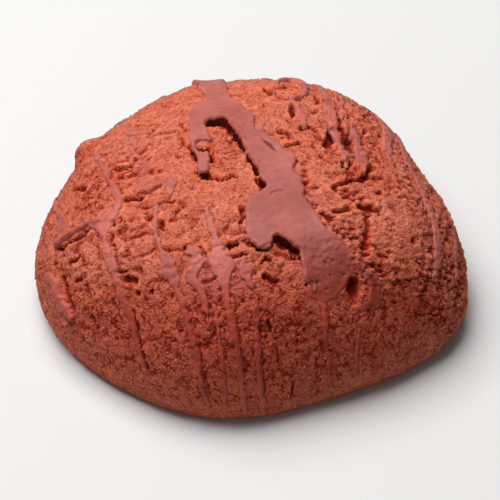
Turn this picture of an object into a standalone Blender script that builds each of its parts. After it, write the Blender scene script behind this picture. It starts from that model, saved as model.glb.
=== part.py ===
# A domed chocolate cookie with a torn, craggy top and thick chocolate drizzle, as one solid.
# Metres, +Z up. The origin is the middle of the flat underside. The side that faces -Y is the front.

import math

import bmesh
import bpy
import numpy as np
from mathutils import Vector, noise

MM = 0.001

# The dough's size and form
COOKIE_RADIUS = 34 * MM  # of the outline seen from above, before its lobes
COOKIE_HEIGHT = 27 * MM
RIM_LEVEL = 4 * MM  # height of the widest outline
RIM_TUCK = 2 * MM  # how far the underside's edge lies inside the rim
SHOULDER = 2.5  # 2 is a round dome, more is a fuller shoulder
LOBES = ((2, 0.025, 9), (3, 0.029, -85), (4, 0.022, -88), (5, 0.022, -96))  # lobes, share of radius, turn

# The dough's relief
RELIEF_FADE = (5 * MM, 1 * MM)  # heights between which the relief dies away towards the underside
SWELLS = ((13 * MM, 0.55 * MM), (5.5 * MM, 0.32 * MM))  # wavelength and height of the soft swellings
CRAG_LENGTH, CRAG_WIDTH = 6.5 * MM, 2.8 * MM
CRAG_TURN = math.radians(17)  # the tears run across the drizzle, a little uphill to the right
CRAG_DEPTH = 0.9 * MM
CRAG_SHARPNESS = 3.2  # more makes the furrows narrower
CRAG_PATCH = 9 * MM  # size of the areas that are torn and of those left whole
CRAG_LEVELS = (9 * MM, 17 * MM)  # heights between which the furrows begin

# The chocolate
FILM = 0.5 * MM  # thickness of the thinnest line fused on
FULL_THICKNESS = 1.25 * MM
SWELL_WITH_WIDTH = 0.35  # thickness gained for each unit of half width
SUNK = 0.9 * MM  # how far each line reaches down into the dough
LINE_BACK = ((-1.0, -0.25), (-0.62, 0.74), (0.0, 1.0), (0.62, 0.74), (1.0, -0.25))  # side, height
LINE_END = 0.45  # share of the half width that a line keeps at its ends
FILLED = 0.85  # share of a tear's depth that is filled below a line
EDGE_REACH = 1.6 * MM
PATH_STEP = 1.9 * MM

# Mesh fineness
DOME_CELLS = 54  # across the dome
PROFILE_STEPS = 200

# Torn places in the crust: both ends, half width and depth, in millimetres on the unrolled skin
TEARS = (
    (11.0, -6.0, 15.0, -4.0, 0.7, 0.9),
    (15.0, -4.0, 20.5, -1.0, 1.0, 1.4),
    (16.0, 4.5, 17.4, 9.6, 1.3, 1.5),
    (14.2, 5.0, 13.9, 7.5, 0.8, 1.1),
    (18.6, -6.0, 17.4, -10.0, 1.0, 1.2),
    (-19.0, -6.8, -14.6, -5.2, 0.8, 1.0),
    (-31.0, 2.0, -28.2, -0.4, 0.9, 1.2),
    (-14.0, -17.8, -10.0, -17.6, 0.8, 1.0),
    (-21.4, -20.8, -18.4, -20.8, 1.3, 1.2),
    (2.6, -20.4, 8.0, -20.2, 1.0, 1.1),
    (-33.2, -16.5, -32.4, -22.0, 1.0, 1.1),
    (-7.0, -4.0, -3.4, -4.9, 0.7, 1.0),
    (17.4, -23.0, 18.0, -27.0, 1.3, 1.4),
)

# The chocolate lines: points along each, with its half width there, in millimetres on the unrolled skin
POUR = (
    ((-7.2, 28.0, 1.7), (-7.0, 21.0, 1.8), (-5.6, 16.0, 3.2), (-4.6, 12.6, 3.6)),
    ((-5.2, 13.0, 3.7), (-2.0, 11.2, 3.3), (0.4, 7.0, 2.6), (2.5, 2.6, 2.8), (4.2, -2.4, 3.2),
     (5.4, -7.4, 4.1), (6.4, -12.4, 5.2), (9.0, -16.6, 4.4), (11.8, -20.4, 3.4), (13.2, -23.8, 2.2)),
    ((-5.4, 13.4, 3.4), (-8.1, 10.2, 2.2), (-8.4, 6.0, 1.8), (-8.2, 3.4, 1.3)),
    ((-8.0, 1.5, 1.1), (-7.2, -1.0, 1.2), (-6.2, -3.0, 1.1)),
    ((5.4, -9.0, 3.4), (2.6, -12.4, 3.7), (2.2, -15.4, 3.0), (2.2, -17.4, 1.6)),
    ((11.6, -19.4, 3.0), (15.6, -20.4, 2.4), (19.2, -20.6, 1.6), (21.4, -23.0, 1.3), (21.6, -25.4, 0.9)),
    ((16.2, -22.0, 1.6), (16.4, -27.0, 2.1), (17.2, -32.0, 1.8), (19.4, -36.6, 1.0)),
)
LINES = (
    ((-36.0, 6.0, 0.8), (-34.0, -1.0, 0.9), (-32.0, -6.0, 1.3), (-31.6, -9.0, 1.2), (-28.5, -9.6, 0.9),
     (-25.0, -9.6, 1.0), (-22.4, -10.4, 1.6), (-22.6, -14.0, 1.0), (-22.2, -19.0, 0.9), (-21.6, -25.0, 0.9),
     (-20.8, -32.0, 0.7)),
    ((-26.5, 8.0, 0.6), (-24.0, 1.0, 0.7), (-22.3, -2.5, 0.7), (-20.6, -6.0, 1.0), (-21.6, -9.6, 1.4)),
    ((-39.0, -11.5, 1.0), (-37.6, -14.5, 1.4), (-36.0, -17.6, 1.6), (-34.4, -21.0, 1.1)),
    ((-14.8, -12.5, 0.7), (-14.2, -17.0, 0.8), (-13.2, -20.5, 1.1), (-12.7, -24.0, 0.9)),
    ((-10.0, -17.6, 0.8), (-8.6, -18.6, 1.3), (-7.8, -21.4, 1.1)),
    ((-6.4, -14.6, 0.7), (-5.8, -18.0, 0.9), (-4.2, -21.0, 1.8), (-1.5, -22.0, 1.4), (1.2, -21.4, 1.0)),
    ((-2.4, -27.0, 0.7), (-1.7, -33.0, 0.6), (-1.2, -41.0, 0.6)),
    ((1.0, -26.0, 0.7), (1.4, -33.0, 0.6), (1.8, -42.0, 0.6)),
    ((5.0, 24.5, 0.9), (7.0, 23.3, 1.0), (8.6, 20.0, 0.9), (8.0, 15.5, 0.8), (7.8, 12.6, 0.8), (8.6, 9.2, 1.0)),
    ((12.0, 27.0, 0.8), (12.2, 20.0, 0.8), (13.4, 14.0, 1.1), (13.9, 9.5, 0.8), (14.9, 3.5, 0.7)),
    ((16.4, 12.4, 0.7), (18.2, 8.0, 0.8), (18.4, 4.0, 1.3), (19.0, 0.6, 0.9)),
    ((21.0, 27.0, 0.9), (22.4, 19.0, 1.0), (23.6, 12.0, 1.2), (24.2, 5.0, 0.9)),
    ((28.0, 20.0, 0.8), (29.2, 10.0, 1.0), (29.0, 2.0, 0.9), (30.2, -8.0, 1.1), (30.6, -16.0, 0.8)),
    ((36.0, 10.0, 0.7), (36.6, 1.0, 0.9), (35.8, -8.0, 0.9), (36.4, -14.0, 0.7)),
)
BACK_LINES = 6  # lines down the far side, spread evenly between the two turns
BACK_TURNS = (math.radians(48), math.radians(140))
BACK_REACH = (30 * MM, 43 * MM)  # distances from the crown between which each runs
BACK_HALF_WIDTH = 0.9 * MM
BACK_LEAN = 0.07  # most that a line turns aside in each third, in radians


def profile_table():
    # Distance from the crown along the skin, share of the outline's radius and height, down the dome's side
    down = np.linspace(0, math.pi / 2, PROFILE_STEPS)
    dome_share = np.sin(down) ** (2 / SHOULDER)
    dome_height = RIM_LEVEL + (COOKIE_HEIGHT - RIM_LEVEL) * np.cos(down)
    under = np.linspace(0, math.pi / 2, PROFILE_STEPS // 10)[1:]
    tuck_share = 1 - RIM_TUCK / COOKIE_RADIUS * (1 - np.cos(under))
    tuck_height = RIM_LEVEL * (1 - np.sin(under))
    share = np.concatenate([dome_share, tuck_share])
    height = np.concatenate([dome_height, tuck_height])
    steps = np.hypot(np.diff(share) * COOKIE_RADIUS, np.diff(height))
    return np.concatenate([[0], np.cumsum(steps)]), share, height


REACH, SHARE, HEIGHT = profile_table()
SKIN_RADIUS = REACH[-1]


def smooth_step(value, low, high):
    t = min(max((value - low) / (high - low), 0.0), 1.0)
    return t * t * (3 - 2 * t)


def smooth_path(points):
    # A Catmull-Rom curve through the points, read about every PATH_STEP
    knots = [np.array(p, float) * MM for p in points]
    knots = [2 * knots[0] - knots[1]] + knots + [2 * knots[-1] - knots[-2]]
    path = []
    for p0, p1, p2, p3 in zip(knots, knots[1:], knots[2:], knots[3:]):
        count = max(1, round(np.hypot(*(p2 - p1)[:2]) / PATH_STEP))
        for t in np.arange(count) / count:
            path.append(0.5 * (2 * p1 + (p2 - p0) * t + (2 * p0 - 5 * p1 + 4 * p2 - p3) * t**2
                               + (3 * p1 - p0 - 3 * p2 + p3) * t**3))
    return path + [knots[-2]]


def back_lines():
    first, last = BACK_TURNS
    for k in range(BACK_LINES):
        turn = first + (last - first) * k / (BACK_LINES - 1)
        lean = BACK_LEAN * math.sin(2.4 * k)
        reaches = np.linspace(BACK_REACH[0], BACK_REACH[1] - 2 * MM * (k % 3), 3)
        yield [(reach * math.cos(turn + lean * i) / MM, reach * math.sin(turn + lean * i) / MM,
                BACK_HALF_WIDTH * (1 + 0.25 * math.sin(k + 2 * i)) / MM) for i, reach in enumerate(reaches)]


PATHS = [smooth_path(points) for points in (*POUR, *LINES, *back_lines())]
PLACES = np.concatenate(PATHS)


def chocolate_cover(u, v):
    # 1 under a line of chocolate, 0 from EDGE_REACH beyond its edge
    gap = float((np.hypot(PLACES[:, 0] - u, PLACES[:, 1] - v) - PLACES[:, 2]).min())
    return smooth_step(gap, EDGE_REACH, 0)


def smooth_skin(u, v):
    # The dough without relief, at a place on the unrolled skin
    reach, turn = math.hypot(u, v), math.atan2(v, u)
    lobes = 1 + sum(part * math.cos(count * turn - math.radians(at)) for count, part, at in LOBES)
    radius = COOKIE_RADIUS * lobes * float(np.interp(reach, REACH, SHARE))
    return Vector((radius * math.cos(turn), radius * math.sin(turn), float(np.interp(reach, REACH, HEIGHT))))


def skin_normal(u, v):
    step = 0.4 * MM
    across = smooth_skin(u + step, v) - smooth_skin(u - step, v)
    along = smooth_skin(u, v + step) - smooth_skin(u, v - step)
    return across.cross(along).normalized()


def tear_depth(u, v):
    deepest = 0.0
    for u0, v0, u1, v1, half, depth in TEARS:
        start, run = Vector((u0, v0)) * MM, Vector((u1 - u0, v1 - v0)) * MM
        away = Vector((u, v)) - start
        t = min(max(away.dot(run) / run.length_squared, 0.0), 1.0)
        gap = (away - run * t).length
        deepest = max(deepest, depth * MM * smooth_step(gap, half * MM * 1.7, half * MM * 0.4))
    return deepest


def crag_depth(point):
    # Narrow broken furrows, longer than they are wide, on the upper part of the dome
    c, s = math.cos(CRAG_TURN), math.sin(CRAG_TURN)
    along = (point.x * c + point.y * s) / CRAG_LENGTH
    across = (point.y * c - point.x * s) / CRAG_WIDTH
    furrow = 1 - abs(noise.noise(Vector((along, across, point.z / CRAG_WIDTH)))) * CRAG_SHARPNESS
    patch = smooth_step(noise.noise(point / CRAG_PATCH), -0.25, 0.25)
    return CRAG_DEPTH * smooth_step(furrow, 0.25, 1.0) * patch * smooth_step(point.z, *CRAG_LEVELS)


def relief(u, v):
    point = smooth_skin(u, v)
    swell = sum(height * noise.noise(point / wave + Vector((0, 5.0, wave / MM))) for wave, height in SWELLS)
    fade = smooth_step(point.z, RELIEF_FADE[1], RELIEF_FADE[0])
    open_share = 1 - FILLED * chocolate_cover(u, v)
    return (swell - (crag_depth(point) + tear_depth(u, v)) * open_share) * fade


def dough_point(u, v, lift=0.0):
    return smooth_skin(u, v) + skin_normal(u, v) * (relief(u, v) + lift)


def square_to_disc(a, b):
    # Keeps equal areas equal, so the cells stay even from crown to rim
    if a == 0 and b == 0:
        return 0.0, 0.0
    if abs(a) > abs(b):
        radius, turn = a, math.pi / 4 * b / a
    else:
        radius, turn = b, math.pi / 2 - math.pi / 4 * a / b
    return radius * math.cos(turn), radius * math.sin(turn)


def new_object(name, bm, material, collection):
    bmesh.ops.recalc_face_normals(bm, faces=bm.faces)
    mesh = bpy.data.meshes.new(name)
    bm.to_mesh(mesh)
    bm.free()
    mesh.materials.append(material)
    obj = bpy.data.objects.new(name, mesh)
    collection.objects.link(obj)
    return obj


def make_dough(material):
    bm = bmesh.new()
    bmesh.ops.create_grid(bm, x_segments=DOME_CELLS, y_segments=DOME_CELLS, size=1)
    edge = {vert for e in bm.edges if e.is_boundary for vert in e.verts}
    for vert in bm.verts:
        u, v = square_to_disc(vert.co.x, vert.co.y)
        u, v = u * SKIN_RADIUS, v * SKIN_RADIUS
        vert.co = smooth_skin(u, v) if vert in edge else dough_point(u, v)
        if vert in edge:
            vert.co.z = 0
    rim = [e for e in bm.edges if e.is_boundary]
    bmesh.ops.holes_fill(bm, edges=rim, sides=0)
    return new_object("cookie", bm, material, bpy.context.scene.collection)


def ring_of(u, v, side, half):
    # One cross section of a line: a rounded back above the dough and a keel in it
    thick = min(FULL_THICKNESS, FILM + SWELL_WITH_WIDTH * half)
    ring = [dough_point(u + side[0] * s * half, v + side[1] * s * half, thick * h) for s, h in LINE_BACK]
    return ring + [dough_point(u, v, -SUNK)]


def make_line(name, path, material, collection):
    bm = bmesh.new()
    rings = []
    for i, (u, v, half) in enumerate(path):
        ahead = path[min(i + 1, len(path) - 1)] - path[max(i - 1, 0)]
        run = ahead[:2] / np.hypot(*ahead[:2])
        if i in (0, len(path) - 1):
            half *= LINE_END
        ring = ring_of(u, v, (-run[1], run[0]), half)
        rings.append([bm.verts.new(p) for p in ring])
    for low, high in zip(rings, rings[1:]):
        for k in range(len(low)):
            n = (k + 1) % len(low)
            bm.faces.new((low[k], low[n], high[n], high[k]))
    bm.faces.new(rings[0][::-1])
    bm.faces.new(rings[-1])
    return new_object(name, bm, material, collection)


def make_material(name, colour, roughness):
    material = bpy.data.materials.new(name)
    material.use_nodes = True
    shader = material.node_tree.nodes["Principled BSDF"]
    shader.inputs["Base Color"].default_value = (*colour, 1)
    shader.inputs["Roughness"].default_value = roughness
    shader.inputs["Metallic"].default_value = 0
    return material


def keep_outer_shell(mesh):
    # Fills the hollows that fusing seals, and drops loose scraps
    bm = bmesh.new()
    bm.from_mesh(mesh)
    left, shells = set(bm.faces), []
    while left:
        shell, to_visit = [], [left.pop()]
        while to_visit:
            face = to_visit.pop()
            shell.append(face)
            near = {other for e in face.edges if len(e.link_faces) == 2 for other in e.link_faces} & left
            left -= near
            to_visit.extend(near)
        shells.append(shell)
    shells.sort(key=len)
    inner = [face for shell in shells[:-1] for face in shell]
    bmesh.ops.delete(bm, geom=inner, context="FACES")
    bmesh.ops.triangulate(bm, faces=bm.faces)
    bm.to_mesh(mesh)
    bm.free()


def fuse(body, collection):
    # One union of the dough and all its chocolate, applied, with the separate lines then removed
    union = body.modifiers.new("chocolate", "BOOLEAN")
    union.operation = "UNION"
    union.operand_type = "COLLECTION"
    union.collection = collection
    union.solver = "MANIFOLD"
    union.material_mode = "TRANSFER"
    graph = bpy.context.evaluated_depsgraph_get()
    fused = bpy.data.meshes.new_from_object(body.evaluated_get(graph))
    body.modifiers.clear()
    body.data = fused
    for obj in list(collection.objects):
        bpy.data.objects.remove(obj)
    bpy.data.collections.remove(collection)
    keep_outer_shell(fused)
    fused.shade_smooth()
    fused.set_sharp_from_angle(angle=math.radians(50))


def build():
    for obj in list(bpy.data.objects):
        bpy.data.objects.remove(obj)
    crumb = make_material("baked_crumb", (0.42, 0.125, 0.062), 0.9)
    chocolate = make_material("milk_chocolate", (0.36, 0.125, 0.095), 0.45)
    cookie = make_dough(crumb)
    lines = bpy.data.collections.new("chocolate_lines")
    bpy.context.scene.collection.children.link(lines)
    for k, path in enumerate(PATHS):
        make_line(f"line_{k}", path, chocolate, lines)
    fuse(cookie, lines)


build()
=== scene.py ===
# A domed chocolate cookie with a torn crust, poured chocolate and thin chocolate streaks.
# Lengths in this script are millimetres until a mesh is made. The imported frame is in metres.

import math
import random

import bpy
import numpy as np
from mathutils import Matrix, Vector, noise


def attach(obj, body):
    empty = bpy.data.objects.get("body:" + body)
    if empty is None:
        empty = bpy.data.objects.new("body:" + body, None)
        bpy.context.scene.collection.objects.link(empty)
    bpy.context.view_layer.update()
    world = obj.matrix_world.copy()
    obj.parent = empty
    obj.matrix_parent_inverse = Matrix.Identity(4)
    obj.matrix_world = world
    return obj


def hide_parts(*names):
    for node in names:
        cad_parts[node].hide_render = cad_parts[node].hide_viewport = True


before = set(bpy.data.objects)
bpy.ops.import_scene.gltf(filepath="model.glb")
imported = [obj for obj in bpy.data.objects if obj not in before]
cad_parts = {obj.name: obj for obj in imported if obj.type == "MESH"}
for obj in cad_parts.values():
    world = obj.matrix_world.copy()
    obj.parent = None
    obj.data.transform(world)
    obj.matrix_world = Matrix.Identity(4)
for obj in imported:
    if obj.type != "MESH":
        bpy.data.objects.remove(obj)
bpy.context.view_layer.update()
mm = 0.001


# The dough's form: an unrolled skin of places (u, v), in mm from the crown. u is right, v is away.

dough = {
    "radius": 34,
    "height": 27,
    "rimLevel": 4,  # height of the widest outline
    "rimTuck": 2,
    "shoulder": 2.5,  # 2 is a round dome, more is a fuller shoulder
    "lobes": ((2, 0.025, 9), (3, 0.029, -85), (4, 0.022, -88), (5, 0.022, -96)),  # number, share, turn
    "profileSteps": 200,
    "normalStep": 0.4,
    "floorGap": 0.02,  # only the underside lies lower
    "cells": 306,  # across the dome
    "reliefFade": (1, 5),  # heights between which the coarse relief sets in
    "grainFade": (0.1, 1.5),
    "underside": {"rings": 5, "dimples": ((2.4, 0.5), (0.9, 0.25)), "deepest": 0.4},
}


def profileTable():
    down = np.linspace(0, math.pi / 2, dough["profileSteps"])
    under = np.linspace(0, math.pi / 2, dough["profileSteps"] // 10)[1:]
    share = np.concatenate([np.sin(down) ** (2 / dough["shoulder"]),
                            1 - dough["rimTuck"] / dough["radius"] * (1 - np.cos(under))])
    height = np.concatenate([dough["rimLevel"] + (dough["height"] - dough["rimLevel"]) * np.cos(down),
                             dough["rimLevel"] * (1 - np.sin(under))])
    steps = np.hypot(np.diff(share) * dough["radius"], np.diff(height))
    return np.concatenate([[0], np.cumsum(steps)]), share, height


reachTable, shareTable, heightTable = profileTable()
skinRadius = reachTable[-1]


def smoothStep(value, low, high):
    t = np.clip((np.asarray(value, float) - low) / (high - low), 0, 1)
    return t * t * (3 - 2 * t)


def fadeOut(value, start, end):
    return 1 - smoothStep(value, start, end)


def atLeast(least, share):
    # The share, squeezed so that it never falls below the least
    return least + (1 - least) * share


def smoothSkin(u, v):
    reach, turn = np.hypot(u, v), np.arctan2(v, u)
    lobes = 1 + sum(part * np.cos(count * turn - math.radians(at)) for count, part, at in dough["lobes"])
    radius = dough["radius"] * lobes * np.interp(reach, reachTable, shareTable)
    height = np.interp(reach, reachTable, heightTable)
    return np.stack([radius * np.cos(turn), radius * np.sin(turn), height], 1)


def skinNormal(u, v):
    step = dough["normalStep"]
    across = smoothSkin(u + step, v) - smoothSkin(u - step, v)
    along = smoothSkin(u, v + step) - smoothSkin(u, v - step)
    normal = np.cross(across, along)
    return normal / np.linalg.norm(normal, axis=1)[:, None]


def skinPlace(u, v, lift):
    place = smoothSkin(u, v) + skinNormal(u, v) * lift[:, None]
    place[:, 2] = np.maximum(place[:, 2], dough["floorGap"])
    return place


def toSegment(u, v, start, end):
    # Where along the segment each place's nearest point lies, from 0 to 1, and how far away it is
    du, dv = end[0] - start[0], end[1] - start[1]
    t = np.clip(((u - start[0]) * du + (v - start[1]) * dv) / max(du * du + dv * dv, 1e-6), 0, 1)
    return t, np.hypot(u - start[0] - du * t, v - start[1] - dv * t)


# Noise. The shifts only make each use of it differ from the others.

cellHash = (12.9898, 78.233, 37.719)  # uneven numbers that scatter what a cell's place gives
hashScale = 43758.5453


def noiseAt(points, size, shift=0.0):
    return np.array([noise.noise(Vector(p)) for p in (points / size + shift).tolist()])


def cellsAt(points, size, shift=0.0):
    # For each place: the distance to its cell's middle, how much nearer that is than the next one,
    # a number of the cell's own, and the way from the middle
    near, gap, number, away = [], [], [], []
    for p in (points / size + shift).tolist():
        distances, middles = noise.voronoi(Vector(p))
        middle = middles[0]
        near.append(distances[0])
        gap.append(distances[1] - distances[0])
        number.append(sum(part * middle[axis] for axis, part in enumerate(cellHash)))
        away.append([p[axis] - middle[axis] for axis in range(3)])
    return np.array(near), np.array(gap), np.sin(number) * hashScale % 1, np.array(away)


def warped(points, size, reach, shift=0.0):
    # The points moved about a little, so that cells and furrows lose their straight edges
    pushed = points.copy()
    for axis in range(3):
        pushed[:, axis] += reach * noiseAt(points, size, shift + 11.3 * axis)  # another noise for each axis
    return pushed


# The crust's relief. A bend is the wavelength, reach and shift with which points are moved about.

crust = {
    "rowTurn": 17,  # the rows of torn crust run a little uphill to the right
    "swells": ((13, 0.55), (5.5, 0.3)),  # wavelength and height
    "swellShift": 5,
    "hollowShares": (0.3, 0.7),  # of the hollows' depth, in the soft form and in the cuts
    "crag": {"length": 6.5, "width": 2.8, "bend": (1.3, 0.45), "sharpness": 3.2, "edge": (0.25, 1),
             "depth": 0.38, "levels": (9, 17), "patch": 9, "patchEdge": (-0.25, 0.25),
             "behind": (10, 17), "lessBehind": 0.7, "lessRight": 0.6},
    # torn scales of crust, each with its lower edge standing up, and gaps between some of them
    "scales": {"cell": (2.3, 1.7), "bend": (1.2, 0.5, 7.7), "shift": 2.2, "lift": 0.22, "gap": 0.11,
               "depth": 0.4},
    "scaled": {"levels": (8, 16), "above": 0.2, "left": 0.8},
    "clods": {"cell": (1.4, 1.3), "bend": (1, 0.4, 1.7), "shift": 8.2, "lift": 0.21, "gap": 0.24,
              "depth": 0.55},
    "clodded": {"all": 0.05, "side": 0.2, "most": 1.1},
    # where the gaps open, and how the cells lean and step
    "parted": {"size": 3, "shift": 2, "edge": (-0.35, 0.1), "start": 0.25, "lean": 0.8, "level": 0.5},
    "uneven": {"size": 6, "shift": 3.1, "mean": 0.75, "swing": 0.9},
    "pit": {"cell": 2.1, "bend": (0.9, 0.35, 4.4), "shift": 9.1, "size": 0.24, "growth": 0.9,
            "share": 0.36, "depth": 0.9},
    "pitted": (0.45, 0.5, 0.3),  # anywhere on top, more on the right, more on the left
    "pore": {"cell": 1.1, "bend": (0.7, 0.15, 6.1), "shift": 5.3, "size": 0.34, "growth": 0.8,
             "share": 0.5, "depth": 0.3},
    "fewerPores": 0.4,  # share of them on the sides
    "dent": (0.5, 0.4, 1.2),  # its least size, and where its slope starts and ends
    "pebble": {"cell": 1.25, "bend": (0.8, 0.3, 3.3), "shift": 7.1, "height": 0.34, "own": 0.6,
               "patch": (4, 1.2), "patchEdge": (-0.4, 0.2), "top": 0.35},
    "rough": ((1.9, 0.1), (0.9, 0.1)),
    "roughShift": 17,
    "lip": 0.26,
}

# Where the crust is torn most
tornPlaces = {
    "right": {"start": (4, 14), "front": (-26, -17), "behind": (4, 14), "lessBehind": 0.5},
    "left": {"start": (-8, -20), "front": (-26, -16), "behind": (-4, 6), "lessBehind": 0.7},
    "leftEnd": (-36, -28),
    "sideLevels": (9, 19),
}

# Torn places: half width, depth, and the points that each runs through
tears = (
    (0.95, 1.4, (-6.7, 8.3), (-5.5, 8.9), (-4.4, 8.4)), (0.6, 1.4, (-4.4, 7.8), (-3.4, 6.6), (-2.2, 4.3)),
    (0.45, 1.3, (-2.2, 4.3), (-1, 1.8), (0.2, -0.8), (1.3, -4)), (0.55, 1.3, (1.6, -5.8), (2.2, -7)),
    (0.3, 1, (-1.3, -10.8), (-1.3, -13.5)), (0.7, 1.2, (4.7, -17.2), (7.8, -19)),
    (0.45, 1, (2.8, -20.4), (3.2, -20.6)), (0.35, 1.2, (7.6, -20.3), (8.4, -20.3)),
    (0.5, 1, (2.6, -23.6), (4.5, -24.4)), (0.4, 1.1, (10.3, -24.7), (10.8, -24.7)),
    (0.25, 0.9, (-1, -17), (1.4, -18.8), (3.7, -18.3)),
    (0.4, 1.1, (-4, -18.4), (-3.1, -17.7), (-2.2, -17.2)),
    (0.3, 0.8, (-3.5, -19.8), (-2.1, -19.9), (-0.5, -19.4)), (0.3, 0.9, (2.1, -21), (2.8, -20.3)),
    (0.36, 1.2, (-7.5, -4), (-6.5, -3.6), (-5.6, -4.4), (-4.4, -5.3)),
    (0.3, 0.9, (-4.4, -5.2), (-3.2, -4.4), (-2, -4.6)), (0.5, 1, (-8.1, 2.2), (-6.7, 1.8)),
    (0.25, 0.7, (-9.8, 2.8), (-9, 0.8), (-8.1, -0.8)), (0.3, 0.7, (-5.9, 1), (-5.9, -1)),
    (0.42, 1.1, (6.4, 2.6), (7.7, 3.1), (8.7, 4.2)), (0.45, 1.1, (4.8, 6), (6, 5.8), (7, 4.8)),
    (0.3, 0.8, (5, 4.4), (6.3, 4.4)), (0.2, 0.6, (8.4, -5.2), (9.2, -6.4), (10.2, -5.7)),
    (0.7, 1.6, (13, 4.2), (14, 6.8), (14.2, 9.4)), (0.85, 1.8, (16.1, 10.2), (17.4, 9)),
    (0.85, 1.8, (16.8, 8.4), (16.8, 4.4)), (0.5, 1.3, (14.9, 0.2), (16.3, 0.8)),
    (0.3, 0.9, (20.5, 12), (19.8, 9.5), (19.6, 7)), (0.4, 0.9, (8.6, 7.6), (10, 8.4)),
    (0.45, 1.2, (6.8, 13), (7, 10)), (0.6, 1.4, (2.9, 20.2), (3.2, 18.6), (3.9, 17)),
    (0.9, 1.6, (5.4, 20.4), (6.4, 21.4), (7.4, 20.8)), (0.35, 0.9, (4.3, 16.2), (5.6, 14.6), (7.2, 14.4)),
    (0.3, 0.9, (12, -5.7), (13.5, -4.6), (15.5, -3.2)),
    (0.45, 1.2, (15.5, -3.2), (17, -2.6), (18.3, -1.2), (20, 1.3)), (0.3, 0.9, (18.5, -2), (21, -1)),
    (0.4, 0.9, (11.5, -11), (12.5, -12.2)), (0.35, 0.8, (13, -10.5), (15, -9.5)),
    (0.4, 1.1, (16.5, -8.2), (19, -8.3)), (0.45, 1.1, (17.7, -9.5), (18, -12), (18.3, -15.5)),
    (0.3, 0.8, (22.3, 21), (20, 16)), (0.35, 0.9, (23.3, 8.5), (23.3, 7)),
    (0.45, 1, (-31.2, 2.2), (-28.8, 0.7), (-27.7, -0.2)), (0.25, 0.7, (-21.2, -2.5), (-19.8, -5)),
    (0.4, 1.1, (-19.2, -6.5), (-17, -7)), (0.3, 0.9, (-17.4, -6), (-15.5, -6), (-13.8, -4.9)),
    (0.4, 0.9, (-33, -9.4), (-32, -10.3), (-25.5, -10)), (0.35, 0.8, (-22, -12.5), (-22, -13.3)),
    (0.2, 0.5, (-21.6, -14), (-21.6, -19)), (0.3, 0.8, (-13.9, -12), (-13.9, -13.3)),
    (0.35, 0.7, (-31, -13.5), (-28.5, -13.5)), (0.35, 0.7, (-30.5, -17.4), (-29, -17.4)),
    (0.42, 0.8, (-33.3, -15), (-32.5, -21.5)), (0.4, 0.9, (-36, -20.5), (-34.5, -22.5)),
    (0.35, 0.7, (-28.5, -24), (-28.5, -26.5)), (0.45, 1, (-20.6, -20.6), (-19.1, -21.2)),
    (0.2, 0.5, (-20.3, -26), (-19.8, -36)), (0.25, 0.6, (-13.8, -17.2), (-10, -17.9)),
    (0.45, 1.2, (-10.5, -17.4), (-10.2, -17.4)), (0.2, 0.5, (-8.2, -17.6), (-7.2, -18.6), (-7.6, -20)),
    (0.3, 0.7, (-8, -23.8), (-5.8, -23)), (0.16, 0.3, (-6.7, -26), (-6.1, -31.5)),
    (0.16, 0.3, (-2.6, -26.5), (-1.8, -33), (-0.8, -39)), (0.16, 0.3, (1.8, -29), (2.3, -36), (3.6, -45)),
    (0.16, 0.3, (-9, -34), (-8.2, -42)), (0.14, 0.3, (4.8, -35), (6.5, -39), (9, -40.5)),
    (0.3, 0.6, (9.2, -41.4), (9.1, -44.2)), (0.75, 1.2, (17.8, -22.2), (18.2, -24)),
    (0.3, 0.7, (3.5, -31), (3.6, -32)), (0.16, 0.25, (13.4, -37.1), (15.2, -43.2)),
    (0.4, 1, (19, 11.4), (19.6, 10.2)), (0.3, 0.8, (14.6, 13.4), (15.6, 11.6)),
    (0.4, 1.1, (22, 9), (22.4, 6.4)), (0.35, 0.9, (10.4, 8.2), (11.8, 7.4)),
    (0.3, 0.8, (9.6, 12), (11, 12.6)), (0.3, 0.8, (10.8, 17.4), (11.2, 15)),
    (0.4, 0.9, (13.6, 24), (14.8, 21), (15.9, 17)), (0.3, 0.8, (16.1, 17), (17, 13.7)),
    (0.3, 0.8, (3.1, 18.8), (4.2, 20)), (0.22, 0.7, (-11.2, 9.4), (-11.3, 7.6)),
    (0.25, 0.7, (-11, 5), (-10.9, 3.2)), (0.5, 1, (-21.9, 1.6), (-20.7, 0.6), (-19.2, 0.9)),
    (0.35, 0.9, (-20.6, -0.9), (-18.6, -0.2)), (0.25, 0.6, (-4, 19), (-1.5, 18)),
    (0.2, 0.5, (-17, -9), (-12, -8.4)), (0.2, 0.5, (8.6, 1), (12.6, -0.6)),
)

# Small holes: half width, depth and where they are
holes = (0.42, 0.85, (
    (11.2, 0.9), (13, 4.3), (14.8, -0.4), (16, 1.3), (17.8, 11.5), (19, 11), (17.8, 14.5), (7.9, 15.2),
    (19.5, -4.8), (-22.8, 0.5), (-34.2, -11.8), (-20.3, -10.3), (-15.8, -11), (-19, -23.5),
    (-16.5, -23.7), (-21.5, 14.3), (-19.2, 13), (-16, 13.5), (-13.3, 16), (-22.3, 12), (-19.2, 8),
    (-17.5, 3.5), (-18.7, 2), (-16.2, 1.4), (-15.3, -1.5),
))

tearForm = {
    "edge": (0.55, 1.5),  # shares of the half width between which it shelves
    "lipWidth": 0.7,
    "lipBare": 0.15,  # depth from which there is no lip
    "wander": 0.5, "wanderSize": 1.1, "wanderShifts": (21, 33),
    "lipPatch": (1.6, 41), "lipPatchEdge": (-0.2, 0.25),
    "added": 0.25,  # share of the shallower cut that adds to the deeper one
}

# Lumps that stand proud of the dome: middle, half lengths and height
lumps = (
    (-31.2, 16.6, 3.5, 3.3, 1.7),
    (-27.5, 20.5, 3.4, 3, 0.1),
    (-10.5, 25, 3.5, 2.5, 0.45),
    (-36.5, -13, 3, 6, 0.5),
    (12, 27, 16, 7, -0.4),
)

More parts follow.
